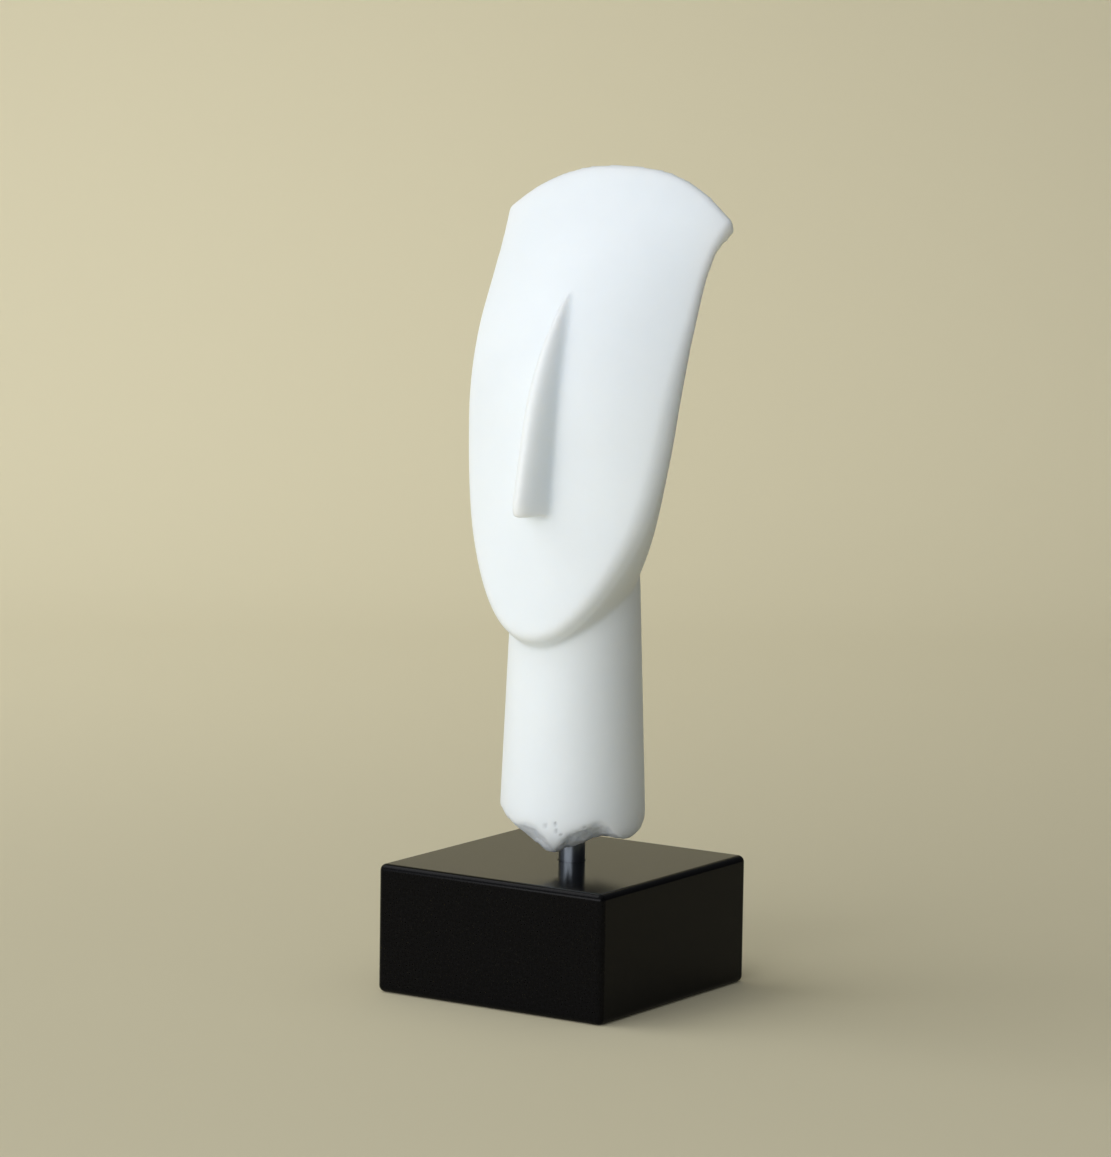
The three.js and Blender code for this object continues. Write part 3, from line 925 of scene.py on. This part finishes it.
def place_at(bearing, elevation, distance):
    """A place round the figure's middle."""
    return Vector((0, 0, CAMERA_AIM_HEIGHT)) + direction(bearing, elevation) * distance


class FIGURINE_OT_add_studio(Operator):
    """Add the backdrop, the lights and the camera"""

    bl_idname = "figurine.add_studio"
    bl_label = "Studio"

    def execute(self, context):
        self.add_backdrop(context)
        figure = Vector((0, 0, CAMERA_AIM_HEIGHT))
        self.add_light(context, "key_softbox", place_at(*KEY_PLACE), figure, KEY_SIZE, KEY_POWER)
        self.add_light(context, "side_softbox", place_at(*SIDE_PLACE), figure, SIDE_SIZE, SIDE_POWER)
        turn = Matrix.Rotation(CAMERA_BEARING, 3, "Z")
        above = turn @ Vector(WALL_LIGHT_PLACE)
        behind = turn @ Vector(WALL_LIGHT_AIM)
        wall = self.add_light(
            context, "backdrop_softbox", above, behind, WALL_LIGHT_SIZE, WALL_LIGHT_POWER
        )
        wall.data.spread = math.radians(WALL_LIGHT_SPREAD)
        self.add_fill(context)
        self.add_camera(context)
        return {"FINISHED"}

    def add_backdrop(self, context):
        """A floor that curves up into a wall behind the object."""
        bm = bmesh.new()
        start = [bm.verts.new((x, BACKDROP_FRONT, 0)) for x in BACKDROP_SIDES]
        edge = bm.edges.new(start)
        run = bmesh.ops.extrude_edge_only(bm, edges=[edge])["geom"]
        moved = [v for v in run if isinstance(v, bmesh.types.BMVert)]
        bmesh.ops.translate(bm, verts=moved, vec=(0, BACKDROP_BACK - BACKDROP_FRONT, 0))
        bend = bmesh.ops.spin(
            bm,
            geom=[e for e in run if isinstance(e, bmesh.types.BMEdge)] + moved,
            axis=(1, 0, 0),
            cent=(0, BACKDROP_BACK, BACKDROP_BEND_RADIUS),
            angle=math.pi / 2,
            steps=BACKDROP_BEND_STEPS,
        )["geom_last"]
        wall = bmesh.ops.extrude_edge_only(
            bm, edges=[e for e in bend if isinstance(e, bmesh.types.BMEdge)]
        )["geom"]
        top = [v for v in wall if isinstance(v, bmesh.types.BMVert)]
        bmesh.ops.translate(bm, verts=top, vec=(0, 0, BACKDROP_WALL))
        bmesh.ops.recalc_face_normals(bm, faces=bm.faces)
        turn = Matrix.Rotation(CAMERA_BEARING, 4, "Z")
        bmesh.ops.transform(bm, matrix=turn, verts=bm.verts)
        for face in bm.faces:
            face.smooth = True
        backdrop = new_object("backdrop", bm)
        material, tree, shader = new_material("pale_paper")
        colour = context.scene.figurine.colours.backdrop_colour
        shader.inputs["Base Color"].default_value = (*colour, 1)
        shader.inputs["Roughness"].default_value = 0.95
        shader.inputs["Specular IOR Level"].default_value = 0.1
        backdrop.data.materials.append(material)

    def add_light(self, context, name, place, aim, size, energy):
        """An oblong soft light at a place, aimed at a point."""
        data = bpy.data.lights.new(name, "AREA")
        data.shape = "RECTANGLE"
        data.size, data.size_y = size
        data.energy = energy
        light = bpy.data.objects.new(name, data)
        light.location = place
        light.rotation_euler = (place - aim).to_track_quat("Z", "Y").to_euler()
        context.scene.collection.objects.link(light)
        return light

    def add_fill(self, context):
        """Light from all round, stronger from the key's side of the room."""
        world = bpy.data.worlds.new("soft_room")
        world.use_nodes = True
        tree = world.node_tree
        sky = tree.nodes["Background"]
        sky.inputs["Strength"].default_value = ROOM_STRENGTH
        looking = tree.nodes.new("ShaderNodeTexCoord").outputs["Generated"]
        towards = tree.nodes.new("ShaderNodeVectorMath")
        towards.operation = "DOT_PRODUCT"
        towards.inputs[1].default_value = direction(*ROOM_BRIGHT_SIDE)
        tree.links.new(looking, towards.inputs[0])
        spread = node_value(tree, "ShaderNodeMapRange", **{"From Min": -1.0, "From Max": 1.0})
        tree.links.new(towards.outputs["Value"], spread.inputs["Value"])
        stops = [(0.0, ROOM_DIM), (0.5, ROOM_MIDDLE), (1.0, ROOM_BRIGHT)]
        shades = ramp(tree, spread.outputs["Result"], stops)
        tree.links.new(shades, sky.inputs["Color"])
        context.scene.world = world
        context.scene.view_settings.view_transform = "Standard"

    def add_camera(self, context):
        """The camera at the photograph's angle and distance."""
        data = bpy.data.cameras.new("camera")
        data.lens = CAMERA_LENS
        data.sensor_width = CAMERA_SENSOR
        data.clip_end = CAMERA_REACH
        camera = bpy.data.objects.new("camera", data)
        turn = (
            Matrix.Rotation(CAMERA_BEARING, 4, "Z")
            @ Matrix.Rotation(math.pi / 2 - CAMERA_ELEVATION, 4, "X")
            @ Matrix.Rotation(CAMERA_ROLL, 4, "Z")
        )
        sideways = Vector((math.cos(CAMERA_BEARING), math.sin(CAMERA_BEARING), 0))
        aim = sideways * CAMERA_AIM_RIGHT + Vector((0, 0, CAMERA_AIM_HEIGHT))
        camera.matrix_world = (
            Matrix.Translation(aim) @ turn @ Matrix.Translation((0, 0, CAMERA_DISTANCE))
        )
        context.scene.collection.objects.link(camera)
        context.scene.camera = camera


class FIGURINE_PT_panel(Panel):
    bl_idname = "FIGURINE_PT_panel"
    bl_label = "Figurine"
    bl_space_type = "VIEW_3D"
    bl_region_type = "UI"
    bl_category = "Figurine"

    def draw(self, context):
        settings = context.scene.figurine
        for group in (settings.sizes, settings.colours):
            for name in group.bl_rna.properties.keys():
                if name not in {"rna_type", "name"}:
                    self.layout.prop(group, name)
        for operator in OPERATORS:
            self.layout.operator(operator.bl_idname)


OPERATORS = (
    FIGURINE_OT_add_marble_head,
    FIGURINE_OT_add_steel_rod,
    FIGURINE_OT_add_stone_plinth,
    FIGURINE_OT_add_studio,
)
CLASSES = (FigurineSizes, FigurineColours, FigurineSettings, *OPERATORS, FIGURINE_PT_panel)


def register():
    for cls in CLASSES:
        bpy.utils.register_class(cls)
    bpy.types.Scene.figurine = PointerProperty(type=FigurineSettings)


def unregister():
    del bpy.types.Scene.figurine
    for cls in reversed(CLASSES):
        bpy.utils.unregister_class(cls)


def main():
    register()
    bpy.ops.figurine.add_marble_head()
    bpy.ops.figurine.add_steel_rod()
    bpy.ops.figurine.add_stone_plinth()
    bpy.ops.figurine.add_studio()


if __name__ == "__main__":
    main()
